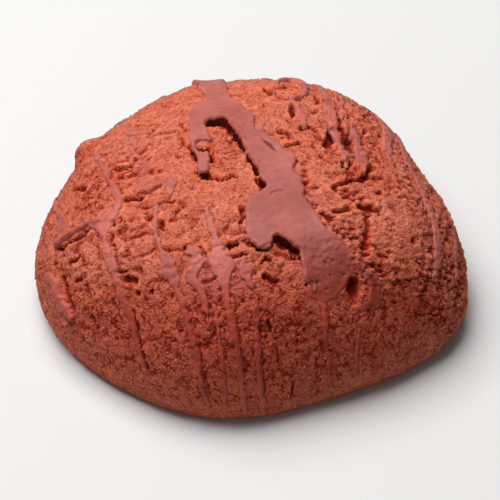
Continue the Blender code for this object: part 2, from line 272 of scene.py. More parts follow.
# Places lower than the crust round them: middle, half lengths and depth
hollows = (
    (6.4, -19.2, 2.4, 1.6, 0.4),
    (18, -24, 1.4, 2.6, 0.5),
    (16.8, -2.2, 4, 2, 0.25),
    (16.4, 7.6, 1.6, 3, 0.4),
)


# How far out an oval place starts to fade and is gone, as shares of its half lengths
ovalFades = {"hollow": (0.7, 1.25), "lump": (0.2, 1.3), "darkPatch": (0.4, 1.3)}


def ovalShare(u, v, kind, middleU, middleV, halfU, halfV):
    return fadeOut(np.hypot((u - middleU) / halfU, (v - middleV) / halfV), *ovalFades[kind])


def tearDepth(u, v):
    # How deep the torn places go, and the lips that stand up round them
    deepest, lip = np.zeros(len(u)), np.zeros(len(u))
    start, end = tearForm["edge"]
    holeHalf, holeDepth, middles = holes
    for half, depth, *points in (*tears, *((holeHalf, holeDepth, middle) for middle in middles)):
        away = np.min([toSegment(u, v, *ends)[1] for ends in zip(points, points[1:] or points)], axis=0)
        deepest = np.maximum(deepest, depth * fadeOut(away, half * start, half * end))
        lip = np.maximum(lip, min(depth, 1) * fadeOut(away, half * end, half * end + tearForm["lipWidth"]))
    return deepest, lip * (deepest < tearForm["lipBare"])


def hollowDepth(u, v):
    return np.max([depth * ovalShare(u, v, "hollow", *oval) for *oval, depth in hollows], axis=0)


def lumpHeight(u, v):
    return sum(tall * ovalShare(u, v, "lump", *oval) for *oval, tall in lumps)


def tornShare(u, v, place):
    return (smoothStep(u, *place["start"]) * smoothStep(v, *place["front"])
            * (1 - place["lessBehind"] * smoothStep(v, *place["behind"])))


def rowPlaces(points, length, width):
    # The points' places along and across the rows of torn crust, and upwards
    turn = math.radians(crust["rowTurn"])
    along = (points[:, 0] * math.cos(turn) + points[:, 1] * math.sin(turn)) / length
    across = (points[:, 1] * math.cos(turn) - points[:, 0] * math.sin(turn)) / width
    return np.stack([along, across, points[:, 2] / width], 1)


def furrows(base, kind):
    place = rowPlaces(warped(base, *kind["bend"]), kind["length"], kind["width"])
    return smoothStep(1 - np.abs(noiseAt(place, 1.0)) * kind["sharpness"], *kind["edge"])


def tornCells(base, loose, cell, bend, shift, lift, gap, depth):
    # Cells that are longer along the rows than across them. Each leans, so that its lower edge stands up.
    look = crust["parted"]
    points = warped(base, *bend)
    _, apart, number, away = cellsAt(rowPlaces(points, *cell), 1, shift)
    lean = -(away[:, 1] + look["lean"] * away[:, 2])
    rise = lift * (lean * (0.5 + number) + look["level"] * (number - 0.5)) * loose
    parted = smoothStep(noiseAt(points, look["size"], shift + look["shift"]), *look["edge"]) * loose
    return rise, depth * fadeOut(apart, look["start"] * gap, gap) * parted


def dents(base, cell, bend, shift, size, growth, share, depth):
    # Round dents in some of the cells, each of its own size
    least, start, end = crust["dent"]
    near, _, number, _ = cellsAt(warped(base, *bend), cell, shift)
    size = size * (least + growth * number / share)
    return depth * fadeOut(near, size * start, size * end) * (number < share)


def pebbles(base, where, cell, bend, shift, height, own, patch, patchEdge, top):
    near, _, number, _ = cellsAt(warped(base, *bend), cell, shift)
    pebbled = smoothStep(noiseAt(base, *patch), *patchEdge) * atLeast(top, where)
    return height * (0.5 - near) * (own + own * number) * pebbled


def crustRelief(u, v):
    # The dough's relief along its normal, in three parts: the soft form, what is cut away from it,
    # and the fine crumb. The last value is where the torn places have lips.
    base = smoothSkin(u, v)
    height = base[:, 2]
    coarseFade = smoothStep(height, *dough["reliefFade"])
    hollow = hollowDepth(u, v)
    softHollow, cutHollow = crust["hollowShares"]
    swell = sum(tall * noiseAt(base, wave, np.array((0, crust["swellShift"], wave)))
                for wave, tall in crust["swells"])
    soft = (swell + lumpHeight(u, v) - softHollow * hollow) * coarseFade

    crag, uneven = crust["crag"], crust["uneven"]
    upper = smoothStep(height, *crag["levels"])
    side = fadeOut(height, *tornPlaces["sideLevels"])
    right = tornShare(u, v, tornPlaces["right"])
    left = tornShare(u, v, tornPlaces["left"]) * smoothStep(u, *tornPlaces["leftEnd"])
    uneven = uneven["mean"] + uneven["swing"] * noiseAt(base, uneven["size"], uneven["shift"])

    patch = smoothStep(noiseAt(base, crag["patch"]), *crag["patchEdge"])
    patch = patch * (1 - crag["lessBehind"] * smoothStep(v, *crag["behind"]))
    cut = furrows(base, crag) * patch * upper * crag["depth"] * (1 - crag["lessRight"] * right)
    look = crust["scaled"]
    loose = (look["above"] * smoothStep(height, *look["levels"]) + look["left"] * left) * uneven * (1 - right)
    scales, gaps = tornCells(base, np.clip(loose, 0, 1), **crust["scales"])
    look = crust["clodded"]
    loose = (look["all"] + right + look["side"] * side) * uneven
    clods, cracks = tornCells(base, np.clip(loose, 0, look["most"]), **crust["clods"])
    anywhere, moreRight, moreLeft = crust["pitted"]
    pitted = upper * np.clip(anywhere + moreRight * right + moreLeft * left, 0, 1)
    cut = np.max([cut, gaps, cracks, dents(base, **crust["pit"]) * pitted], axis=0)

    wanderU, wanderV = (tearForm["wander"] * noiseAt(base, tearForm["wanderSize"], shift)
                        for shift in tearForm["wanderShifts"])
    tear, lip = tearDepth(u + wanderU, v + wanderV)
    lip = lip * smoothStep(noiseAt(base, *tearForm["lipPatch"]), *tearForm["lipPatchEdge"])
    cut = np.maximum(cut, tear) + tearForm["added"] * np.minimum(cut, tear) + cutHollow * hollow
    cut = cut * coarseFade

    pores = dents(base, **crust["pore"]) * atLeast(crust["fewerPores"], upper)
    rough = sum(tall * noiseAt(base, wave, crust["roughShift"] + wave) for wave, tall in crust["rough"])
    rough = rough + pebbles(base, np.maximum(side, left), **crust["pebble"])
    fine = rough - pores + (scales + clods + crust["lip"] * lip) * coarseFade
    return soft, cut, fine * smoothStep(height, *dough["grainFade"]), lip


# The colours that the dough's relief and its place give it: painted shade in its hollows, a painted highlight
# on its crests, redder torn lips, stains, and browning with painted shade on the front and sides

doughShade = {
    "reach": 3,  # cells round about with which a place is compared
    "soft": 0.45,  # share of its depth below the soft form
    # where a place lies below or above what is close by: its hollow is painted in shade, its crest is painted
    # as a highlight
    "hollow": (0.05, 0.42), "crest": (0.06, 0.4),
    "raw": 0.45, "rawFade": 2,
    "stain": (-0.25, 0.35), "stainWander": ((1.2, 0.9, 71), (0.6, 0.5, 81)),  # size, reach, shift
    # the front is painted in shade, the sides get browning with some painted shade, and less of both low down
    "front": (0.36, 0.7), "side": 0.3, "moreLeft": 0.3, "left": (-18, -34), "upright": (0.25, 0.85),
    "low": 0.25, "lowLevels": (2, 13),
}

# Where the lips are redder: the middle and reach
rawPlaces = ((-7.6, 1.5, 7.0), (-20.4, 0.6, 4.5), (3.6, -19.4, 5.0))

# Places on top that get the darker tint of the painted shade: middle, half lengths and share. The one inside
# the hook is painted shade beside the pour; the others are only darker.
darkPatchPlaces = (
    (-3.8, 2.5, 3, 5.5, 0.5),
    (-27, -2.5, 7.5, 7.5, 0.45),
    (-33, 9, 6, 9, 0.55),
    (20, 3, 5, 9, 0.2),
)


def browningAndShade(u, v):
    # How much painted shade and browning the crust gets: most at the front, where the shade is, some on the
    # other sides, and less low down, as painted light from the floor
    look = doughShade
    normal = skinNormal(u, v)
    front = smoothStep(-normal[:, 1], *look["front"])
    sides = look["side"] + look["moreLeft"] * smoothStep(u, *look["left"])
    sides = sides * fadeOut(normal[:, 2], *look["upright"])
    high = smoothStep(smoothSkin(u, v)[:, 2], *look["lowLevels"])
    around = np.maximum(front, sides) * atLeast(look["low"], high)
    above = [share * ovalShare(u, v, "darkPatch", *oval) for *oval, share in darkPatchPlaces]
    return np.max([around, *above], axis=0)


def rawness(u, v):
    out = [fadeOut(np.hypot(u - middleU, v - middleV), reach - doughShade["rawFade"], reach)
           for middleU, middleV, reach in rawPlaces]
    return atLeast(doughShade["raw"], np.max(out, axis=0))


def localMean(grid, reach):
    # The mean of the square of cells round each place
    padded = np.pad(grid, reach, mode="edge")
    total = np.zeros((padded.shape[0] + 1, padded.shape[1] + 1))
    total[1:, 1:] = padded.cumsum(0).cumsum(1)
    width = 2 * reach + 1
    inBox = total[width:, width:] - total[:-width, width:] - total[width:, :-width] + total[:-width, :-width]
    return inBox / width**2


# Meshes

def newMesh(name, points, faces, material, attributes=None):
    mesh = bpy.data.meshes.new(name)
    mesh.from_pydata((points * mm).tolist(), [], faces)
    for label, values in (attributes or {}).items():
        layer = mesh.attributes.new(label, "FLOAT", "POINT")
        layer.data.foreach_set("value", np.asarray(values, np.float32))
    mesh.materials.append(material)
    mesh.shade_smooth()
    obj = bpy.data.objects.new(name, mesh)
    bpy.context.scene.collection.objects.link(obj)
    return obj


def squareToDisc(a, b):
    # Keeps equal areas equal, so the cells stay even from crown to rim
    wide = np.abs(a) > np.abs(b)
    safeA, safeB = np.where(a == 0, 1, a), np.where(b == 0, 1, b)
    radius = np.where(wide, a, b)
    turn = np.where(wide, math.pi / 4 * b / safeA, math.pi / 2 - math.pi / 4 * a / safeB)
    return radius * np.cos(turn), radius * np.sin(turn)


def makeDough(material):
    count = dough["cells"] + 1
    side = np.linspace(-1, 1, count)
    u, v = squareToDisc(*(grid.ravel() for grid in np.meshgrid(side, side)))
    u, v = u * skinRadius, v * skinRadius
    soft, cut, fine, lip = crustRelief(u, v)
    lift = soft - cut + fine
    points = skinPlace(u, v, lift)

    look = doughShade
    near, far = (localMean(grid.reshape(count, count), look["reach"]).ravel() for grid in (lift, soft))
    deep = near - lift + look["soft"] * (far - near)  # below what lies close by, and below the soft form
    base = smoothSkin(u, v)
    wander = sum(reach * noiseAt(base, size, shift) for size, reach, shift in look["stainWander"])
    stain = smoothStep(insideBy(u, v, stainPaths) + wander, *look["stain"])

    corner = np.arange(count * count).reshape(count, count)
    quads = np.stack([corner[:-1, :-1], corner[:-1, 1:], corner[1:, 1:], corner[1:, :-1]], -1).reshape(-1, 4)
    ring = np.concatenate([corner[0, :-1], corner[:-1, -1], corner[-1, :0:-1], corner[:0:-1, 0]])
    points[ring, 2] = 0
    points, faces, dimples = addUnderside(points, ring)
    deep = np.concatenate([deep, dimples])
    values = {"torn": lip * rawness(u, v), "brownedAndShaded": browningAndShade(u, v), "stain": stain}
    values = {label: np.concatenate([value, np.zeros(len(dimples))]) for label, value in values.items()}
    # hollow is painted shade in the dough's low places, crest a painted highlight on its high ones
    values.update(hollow=smoothStep(deep, *look["hollow"]), crest=smoothStep(-deep, *look["crest"]))
    return newMesh("dough", points, quads.tolist() + faces, material, values)


def addUnderside(points, ring):
    # Rings of the flat underside from the lower edge to the middle, a little dimpled
    look = dough["underside"]
    edge, start = points[ring], len(points)
    rings, layers, dimples, faces = [ring], [points], [], []
    for k in range(1, look["rings"]):
        inner = edge * (1 - k / look["rings"])
        dimple = sum(tall * noiseAt(inner, wave) for wave, tall in look["dimples"])
        inner[:, 2] = np.clip(dimple, 0, look["deepest"]) * min(1, k / 2)
        layers.append(inner)
        dimples.append(inner[:, 2])
        rings.append(np.arange(start, start + len(ring)))
        start += len(ring)
    for outer, inner in zip(rings, rings[1:]):
        faces += np.stack([np.roll(outer, -1), outer, inner, np.roll(inner, -1)], -1).tolist()
    last = rings[-1]
    faces += [[int(p), int(q), start] for p, q in zip(np.roll(last, -1), last)]
    return np.concatenate([*layers, np.zeros((1, 3))]), faces, np.concatenate([*dimples, np.zeros(1)])


# The chocolate. The wide pour is an outline, the rest are paths of points with a half width at each.

pourOutline = (
    (-9.6, 27.5), (-9.3, 24), (-8.7, 21), (-7.9, 18.5), (-7.3, 17), (-7.5, 15.4), (-8.8, 14.4),
    (-9.8, 13.2), (-10.1, 11.5), (-10.1, 9), (-10, 6.5), (-9.8, 4.2), (-9.5, 2.6), (-9.1, 1.4),
    (-8.6, 0.4), (-8.1, -0.6), (-8, -2), (-7.8, -3.4), (-6.6, -3.5), (-6.1, -3), (-6.1, -1), (-6.2, 0.6),
    (-6.6, 1.2), (-7.6, 0.7), (-8.3, 1.2), (-8.6, 2.6), (-8.6, 3.6), (-8, 3.8), (-7.2, 3.7), (-6.3, 3.6),
    (-6.1, 4.2), (-6.6, 5.4), (-6.9, 6.6), (-7.1, 8), (-6.6, 9.2), (-5.4, 9.5), (-4.2, 9.1), (-3.5, 7.6),
    (-2.8, 6.2), (-2.1, 4.6), (-1.5, 3), (-1, 1.5), (-0.5, 0), (0.2, -1.5), (0.9, -2.8), (1.3, -4.2),
    (1.4, -5.2), (2, -6), (2.6, -6.8), (2.3, -7.8), (1.2, -8.6), (0, -9.2), (-0.6, -10), (-0.8, -12),
    (-0.8, -14), (-0.7, -15.8), (-0.4, -17), (0.4, -18.2), (1.5, -18.9), (2.7, -19), (3.6, -18.5),
    (4.1, -17.6), (4.6, -16.6), (5.4, -17.3), (6.8, -18), (7.9, -18.7), (8.5, -19.6), (8.8, -21),
    (9.2, -22.5), (9.5, -23.8), (10.1, -25.3), (11, -26.7), (12.5, -27.3), (14, -27), (15.2, -26),
    (16, -24.4), (16.7, -22.4), (17.4, -21), (18.6, -20.9), (20, -21.8), (20.4, -23.6), (20.9, -25.2),
    (21.9, -25), (22.4, -23.4), (22, -21.4), (20.8, -19.9), (18.9, -19), (17.2, -18.4), (16.2, -17.4),
    (15.3, -16.4), (14.9, -15.4), (14.3, -14.8), (13.2, -14.2), (12.2, -13.7), (11.5, -12.8), (11, -11.8),
    (10.4, -10.8), (9.7, -9.8), (9, -8.8), (8.4, -7.8), (8.3, -6.8), (8.2, -5.8), (7.6, -4.8), (7, -3.8),
    (6.3, -3), (6.6, -2), (7, -0.8), (6.8, 0.2), (6.3, 1.1), (5.6, 1.4), (5.3, 2.2), (4.6, 3.2),
    (3.6, 3.8), (3, 4.2), (2.6, 5.2), (1, 5.9), (0.7, 6.8), (0.6, 7.4), (0.8, 8.2), (0.7, 9.2),
    (0.4, 10.2), (0, 11.2), (-0.7, 12.2), (-1.2, 13.2), (-1.6, 14.4), (-2.3, 15.3), (-2.9, 16.6),
    (-3.5, 18.5), (-3.9, 21), (-4.3, 24), (-4.6, 27.5), (-5.6, 30), (-7.4, 31), (-9, 30),
)
# small grooves in the pour, painted in shade too
creasePaths = (
    ((1.9, 3.5, 0.1), (3, 2.3, 0.26), (4.1, 1.1, 0.12)),
    ((3.6, -9.2, 0), (4.4, -8.5, 0.06), (5.4, -8.2, 0)),
)
linePaths = (
    # the upper left edge, and the long streak down the left
    ((-37.5, 6, 0.5), (-35.5, 2, 0.55), (-34, -1, 0.55), (-32.6, -3.4, 0.7), (-31.6, -5.4, 1),
     (-31.3, -7.6, 1.4)),
    ((-27.2, 9.5, 0.45), (-25.4, 5.2, 0.5), (-24, 2, 0.55), (-22.8, -0.5, 0.5), (-21.6, -2.8, 0.55),
     (-20.6, -5, 0.75), (-20.3, -7, 0.8), (-21.4, -8.8, 0.9), (-22.7, -10, 1.4), (-23, -12, 0.7),
     (-22.9, -14.5, 0.55), (-22.6, -17, 0.7), (-22.2, -20, 0.7), (-21.8, -23, 0.7), (-21.3, -27, 0.6),
     (-20.9, -31, 0.45), (-20.4, -36, 0.35)), ((-25.2, -9, 0.7), (-23, -9.4, 1.2)),
    # the front, from left to right
    ((-14.4, -8.4, 0.4), (-14.9, -11.5, 0.5), (-14.9, -14, 0.5), (-14.3, -16.6, 0.55),
     (-13.5, -18.8, 0.9), (-13, -21.2, 1.15), (-12.4, -23.2, 0.75), (-11.4, -26.4, 0.5),
     (-10.5, -30, 0.5), (-9.7, -35, 0.5), (-9.3, -40, 0.45), (-8.9, -45, 0.4)),
    ((-9.8, -18.2, 0.9), (-8.6, -18.8, 1.15), (-8.6, -20.6, 1.1), (-9.4, -22.6, 1), (-8, -24.6, 0.55),
     (-7.4, -27.5, 0.45), (-7, -31, 0.35)),
    ((-6.9, -10.8, 0.5), (-6.4, -13.2, 0.6), (-5.8, -15.8, 0.75), (-5.2, -18, 1.2), (-4.4, -20.6, 1.9),
     (-4.2, -23, 1.3), (-3.9, -26, 0.7), (-2.9, -31, 0.6), (-2.1, -36, 0.55), (-1.7, -41, 0.6),
     (-1.2, -47, 0.6)),
    ((-1.2, -20.4, 0.7), (-0.9, -21.8, 1), (-0.5, -23.6, 0.8), (0.4, -25.2, 0.4), (1.2, -26.4, 0.25)),
    ((1, -27.2, 0.3), (1.2, -29.4, 0.55), (1.2, -34, 0.5), (1.8, -39.4, 0.6), (2.9, -47.5, 0.6)),
    ((12.2, -26, 0.6), (13.6, -29.5, 0.5), (15, -34.6, 0.45), (16.6, -38.6, 0.4), (18, -42, 0.35)),
    ((20.6, -30, 0.35), (21, -33, 0.35), (22.7, -37.5, 0.3)),
    ((-5.9, -27.5, 0.3), (-5.4, -32, 0.42), (-5, -38, 0.4), (-4.9, -45, 0.35)),
    # broken pieces at the upper left
    ((-21, 11, 0.45), (-19.1, 10.1, 0.55), (-17.4, 8.9, 0.4)),
    ((-20.4, 8.9, 0.35), (-19.7, 7.3, 0.8), (-19.1, 5.4, 0.3)),
    ((-12, -3.6, 0.5), (-12.1, -5.1, 0.7), (-12.4, -6.8, 0.4)),
    # the far right
    ((12.2, 27, 0.5), (12.2, 22, 0.5), (12.6, 18.6, 0.6), (13.2, 16, 0.9), (13.9, 13, 1.15),
     (14, 10.6, 0.8), (14.9, 8.6, 0.5), (15.2, 6, 0.5), (15.6, 3.6, 0.7), (15.5, 1.4, 0.7),
     (15.2, 0, 0.35)), ((15.2, 24, 0.35), (15.6, 19, 0.35), (15.6, 13, 0.3)),
    ((17.6, 13.4, 0.25), (17.9, 10.8, 0.4), (18.6, 8.6, 0.6), (18.9, 6, 0.9), (18.6, 3.4, 1.2),
     (18.3, 1.2, 0.9), (18, -0.6, 0.4)),
    ((24, 26, 0.9), (24.4, 22, 1.1), (24.9, 18, 1.2), (25, 12.5, 1.2), (24.8, 9, 0.8), (24.5, 6.6, 0.4)),
    ((6.7, 15.8, 0.45), (7.6, 13.2, 0.6), (8.2, 10.2, 0.85), (9, 8.4, 0.5)),
    ((1.7, 7.6, 0.6), (1.8, 5.8, 0.7)),
    ((28, 20, 0.5), (29.2, 10, 0.8), (29, 2, 0.6), (30.2, -8, 0.9), (30.6, -16, 0.5)),
    ((36, 10, 0.4), (36.6, 1, 0.6), (35.8, -8, 0.6), (36.4, -14, 0.4)),
)
# thicker streaks and beads
beadPaths = (
    ((-33, -8.4, 0.75), (-31, -8.7, 0.6), (-28.5, -8.8, 0.5), (-25.6, -8.7, 0.45), (-23.6, -9, 0.5)),
    ((-36.2, -13.2, 0.8), (-34.8, -15.2, 0.9), (-35.2, -17.3, 1), (-34.3, -19.8, 0.8),
     (-33.4, -22.4, 0.5)), ((-35.4, -19, 0.7), (-35.6, -21.2, 0.7), (-35.3, -23.2, 0.4)),
    ((4.4, 23.4, 0.15), (5.4, 24.4, 0.3), (6.4, 25.4, 0.6), (7.7, 26.2, 1.15), (8.9, 24, 0.85),
     (9.2, 20.6, 0.35), (8.9, 17.6, 0.6), (7.6, 15.6, 0.4), (6.2, 15.6, 0.1)),
    ((4.2, 19.4, 0.1), (3.9, 18, 0.35), (4.4, 16.8, 0.1)),
    ((-9.6, 26, 0.6), (-8.3, 23.2, 0.9), (-6.4, 21.3, 0.95), (-4.9, 20.2, 0.6)),
)
# where the chocolate only colours the crust
stainPaths = (
    ((-23.6, 21, 0.4), (-22.4, 15, 0.7), (-20.8, 11.6, 1), (-19.9, 8, 0.9), (-19, 4.6, 0.5)),
    ((-17.4, 1.8, 0.8), (-16.6, -0.5, 1.1), (-16.6, -4, 1.1), (-15.6, -5, 1.3), (-13.6, -4.8, 0.9),
     (-12.2, -4.6, 1)), ((-23.4, 13, 0.5), (-21, 11.6, 1), (-18, 10.4, 0.6)),
    ((-32.6, -22.4, 0.6), (-30.6, -23.6, 0.8), (-28.4, -24.8, 0.9), (-26.8, -26, 0.4)),
    ((-7, -20, 1.4), (-6.6, -23.6, 1.4), (-5.6, -26.4, 0.8)), ((-10.6, -24, 0.8), (-10, -27, 0.5)),
    ((-1.6, -22.6, 1.2), (-1.2, -26, 0.8)), ((9.4, -23, 2.4), (11.4, -26.6, 2), (13.2, -30, 1.3)),
    ((15.6, -24.6, 1.2), (16.4, -28.4, 0.8)), ((10.2, -41.6, 1.3), (12, -44, 1.3)),
    ((-5.4, -32, 0.3), (-5, -39, 0.35), (-4.9, -46, 0.3)), ((-16.4, -25, 0.3), (-15.6, -34, 0.3)),
    ((4.6, -26, 0.3), (5.4, -34, 0.25)), ((20, -24, 0.7), (20.8, -32, 0.6)),
)

chocolate = {
    "step": 0.2,  # mesh spacing
    "span": ((-44, 42), (-50, 46)),  # the part of the skin that is searched for chocolate
    "near": 1.6,  # how close to a path or the pour a place is looked at further
    "margin": 1,  # of the skin's edge, left free
    "pour": {"thickness": 0.5, "edge": 0.24},
    "line": {"thickness": 0.26, "edge": 0.3},
    "bead": {"thickness": 0.7, "edge": 0.6},
    "outerSlope": 3.2,  # how steeply it goes down into the dough outside the edge
    "farOut": -9.0,  # thickness where there is none
    "rim": (0.06, 0.1, 0.4, 0.8),  # the pour's swollen edge: its height, where it starts, is full, and fades
    "back": {"count": 6, "turns": (48, 140), "reach": (30, 43), "half": 0.7, "lean": 0.07, "swing": 0.25},
    "pathStep": 0.6,
    "edgeWander": ((2.2, 0.24), (0.9, 0.28), (0.55, 0.12)),  # wavelength and reach
    "wanderShifts": (51, 63),
    "fray": ((1.7, 0.36), (0.75, 0.26)),  # the same for the width of the streaks
    "frayShift": 90,
    "beadFray": 0.7,
    "crease": {"depth": 0.3, "reach": 0.5, "edge": (-0.15, 0.05)},
    "skirt": 1.7,  # how far the chocolate reaches down into the dough
    "floor": 2.3,
    # shares of the dough's cuts and of its crumb that show through line, pour and film
    "follow": ((0.45, 0.45), (0.03, 0.06), (0.3, 0.85)),
    "shadedFilm": {"u": (7, 12), "v": (-13.5, -20), "thinner": 0.65},  # low on the right the pour thins out and is painted in shade
    "pourEdge": (0, 0.8),
    "cover": (0.02, 0.35),  # height over the crumb at which it starts to hide it and hides it all
    # cut depths over which the edge above a tear is painted in shade, and how far out of the pour
    "overTearShade": (0.1, 0.5), "tearReach": 0.9,
    "levels": (-0.6, 0.5),  # range of thickness that the material reads, for the painted shade below the edge
}


def backPaths():
    # Streaks down the far side, evenly spread and a little crooked
    look = chocolate["back"]
    near, far = look["reach"]
    for k, turn in enumerate(np.radians(np.linspace(*look["turns"], look["count"]))):
        lean = look["lean"] * math.sin(2.4 * k)
        path = []
        for i, reach in enumerate(np.linspace(near, far - 2 * (k % 3), 3)):
            half = look["half"] * (1 + look["swing"] * math.sin(k + 2 * i))
            path.append((reach * math.cos(turn + lean * i), reach * math.sin(turn + lean * i), half))
        yield tuple(path)


def smoothPath(points):
    # A Catmull-Rom curve through the points
    knots = [np.array(p, float) for p in points]
    knots = [2 * knots[0] - knots[1]] + knots + [2 * knots[-1] - knots[-2]]
    path = []
    for p0, p1, p2, p3 in zip(knots, knots[1:], knots[2:], knots[3:]):
        count = max(1, round(np.hypot(*(p2 - p1)[:2]) / chocolate["pathStep"]))
        for t in np.arange(count) / count:
            path.append(0.5 * (2 * p1 + (p2 - p0) * t + (2 * p0 - 5 * p1 + 4 * p2 - p3) * t**2
                               + (3 * p1 - p0 - 3 * p2 + p3) * t**3))
    return path + [knots[-2]]


def insideBy(u, v, paths):
    # How far each place lies inside the nearest path's edge, negative outside
    best = np.full(len(u), chocolate["farOut"])
    for path in map(smoothPath, paths):
        for start, end in zip(path, path[1:]):
            most = max(start[2], end[2]) + 3  # places further away are left as far out
            middle = (start + end) / 2
            close = (np.abs(u - middle[0]) < most) & (np.abs(v - middle[1]) < most)
            if close.any():
                t, away = toSegment(u[close], v[close], start, end)
                best[close] = np.maximum(best[close], start[2] + (end[2] - start[2]) * t - away)
    return best


def insideOutline(u, v, outline):
    # How far each place lies inside a closed smooth outline, negative outside
    path = smoothPath([(*point, 0) for point in (*outline[-1:], *outline, *outline[:2])])
    path = np.array(path)[:, :2]
    first = np.argmin(np.hypot(*(path - outline[0]).T))
    last = len(path) - 1 - np.argmin(np.hypot(*(path[::-1] - outline[0]).T))
    path = path[first:last]
    away = np.full(len(u), np.inf)
    inside = np.zeros(len(u), bool)
    for start, end in zip(path, np.roll(path, -1, 0)):
        away = np.minimum(away, toSegment(u, v, start, end)[1])
        (u0, v0), (u1, v1) = start, end
        if v0 != v1:
            inside ^= ((v0 > v) != (v1 > v)) & (u < u0 + (v - v0) * (u1 - u0) / (v1 - v0))
    return np.where(inside, away, -away)


def rounded(inside, thickness, edge):
    t = np.clip(inside / edge, 0, 1)
    over = thickness * np.sqrt(np.maximum(1 - (1 - t) ** 2, 0))
    return np.where(inside > 0, over, np.maximum(inside * chocolate["outerSlope"], chocolate["farOut"]))


def chocolateThickness(u, v, base):
    look = chocolate
    shiftU, shiftV = look["wanderShifts"]
    for size, reach in look["edgeWander"]:
        u = u + reach * noiseAt(base, size, shiftU)
        v = v + reach * noiseAt(base, size, shiftV)
    fray = sum(reach * noiseAt(base, size, look["frayShift"]) for size, reach in look["fray"])
    inside = {"line": insideBy(u, v, linePaths + tuple(backPaths())) + fray,
              "bead": insideBy(u, v, beadPaths) + look["beadFray"] * fray,
              "pour": insideOutline(u, v, pourOutline)}
    each = [rounded(inside[kind], **look[kind]) for kind in inside]
    height, start, full, fade = look["rim"]
    pour = inside["pour"]
    each[-1] += height * smoothStep(pour, start, full) * fadeOut(pour, full, full + fade)
    groove = look["crease"]
    crease = np.clip(insideBy(u, v, creasePaths), -groove["reach"], groove["reach"])
    over = np.max(each, axis=0) - groove["depth"] * smoothStep(crease, *groove["edge"])
    return over, pour, crease


def closeCorners(cells):
    # Where two cells meet only at a corner, a third is filled in, so that the mesh stays closed
    cells = cells.copy()
    while True:
        a, b, c, d = cells[:-1, :-1], cells[:-1, 1:], cells[1:, :-1], cells[1:, 1:]
        falling, rising = a & d & ~b & ~c, b & c & ~a & ~d
        if not (falling.any() or rising.any()):
            return cells
        cells[:-1, 1:] |= falling
        cells[:-1, :-1] |= rising


def chocolateGrid():
    # The places of the mesh and its square cells, with what is known at each place
    look = chocolate
    us, vs = (np.arange(low, high, look["step"]) for low, high in look["span"])
    gridU, gridV = np.meshgrid(us, vs)
    u, v = gridU.ravel(), gridV.ravel()
    nearPaths = linePaths + beadPaths + tuple(backPaths())
    rough = np.maximum(insideBy(u, v, nearPaths), insideOutline(u, v, pourOutline))
    close = (rough > -look["near"]) & (np.hypot(u, v) < skinRadius - look["margin"])
    known = np.full((3, len(u)), look["farOut"])
    known[2] = -look["crease"]["reach"]
    known[:, close] = chocolateThickness(u[close], v[close], smoothSkin(u[close], v[close]))

    inMesh = (known[0] > -look["skirt"]).reshape(gridU.shape)
    cells = closeCorners(inMesh[:-1, :-1] & inMesh[1:, :-1] & inMesh[:-1, 1:] & inMesh[1:, 1:])
    rows, columns = np.nonzero(cells)
    first = rows * len(us) + columns
    quads = np.stack([first, first + 1, first + len(us) + 1, first + len(us)], -1)
    used, corners = np.unique(quads, return_inverse=True)
    return u[used], v[used], known[:, used], corners.reshape(quads.shape)


def makeChocolate(material):
    look = chocolate
    u, v, (thickness, pourInside, crease), quads = chocolateGrid()
    soft, cut, fine, _ = crustRelief(u, v)
    shadedFilm = smoothStep(u, *look["shadedFilm"]["u"]) * smoothStep(v, *look["shadedFilm"]["v"])
    inPour = smoothStep(pourInside, *look["pourEdge"])
    cutShare, fineShare = (line + (pour + (thin - pour) * shadedFilm - line) * inPour
                           for line, pour, thin in zip(*look["follow"]))
    thinned = thickness * (1 - look["shadedFilm"]["thinner"] * shadedFilm * (pourInside > 0))
    lift = soft - cut * cutShare + fine * fineShare + np.where(thickness > 0, thinned, thickness)
    points = np.concatenate([skinPlace(u, v, lift), skinPlace(u, v, soft - look["floor"])])

    count = len(u)
    ends = np.concatenate([quads[:, [0, 1]], quads[:, [1, 2]], quads[:, [2, 3]], quads[:, [3, 0]]])
    keys, backKeys = (ends[:, i] * count + ends[:, j] for i, j in ((0, 1), (1, 0)))
    rim = ends[~np.isin(keys, backKeys)]
    sides = np.stack([rim[:, 1], rim[:, 0], rim[:, 0] + count, rim[:, 1] + count], -1)
    faces = quads.tolist() + (quads[:, ::-1] + count).tolist() + sides.tolist()
    # where a tear runs below the edge, the edge stands over a gap, and that is painted in shade
    overTearShade = smoothStep(cut, *look["overTearShade"]) * (pourInside > -look["tearReach"])
    values = {"cover": smoothStep(lift - (soft - cut + fine), *look["cover"]), "shadedFilm": shadedFilm * inPour,
              "overTearShade": overTearShade, "brownedAndShaded": browningAndShade(u, v), "thin": 1 - inPour}
    values = {label: np.tile(value, 2) for label, value in values.items()}
    lowest = look["levels"][0]
    # the thickness, which the material reads to paint shade below the edge
    values["level"] = np.concatenate([np.clip(thickness, *look["levels"]), np.full(count, lowest)])
    values["crease"] = np.concatenate([crease, np.full(count, -look["crease"]["reach"])])
    return newMesh("chocolate", points, faces, material, values)


# Loose crumbs that cling to the torn crust

crumbs = {
    "count": 1800, "seed": 4, "tries": 3,  # places drawn for each crumb
    "radius": (0.1, 0.26), "smaller": 2.2,  # more makes most of them smaller
    "reach": 48, "margin": 5,
    "clear": 0.2,  # distance kept from the chocolate
    "deepest": 0.8,
    "few": 0.35, "patch": (5, 8.8), "patchEdge": (-0.2, 0.3),
    "squash": (0.7, 1.3), "jitter": (0.65, 1.25), "raised": 0.05,
}


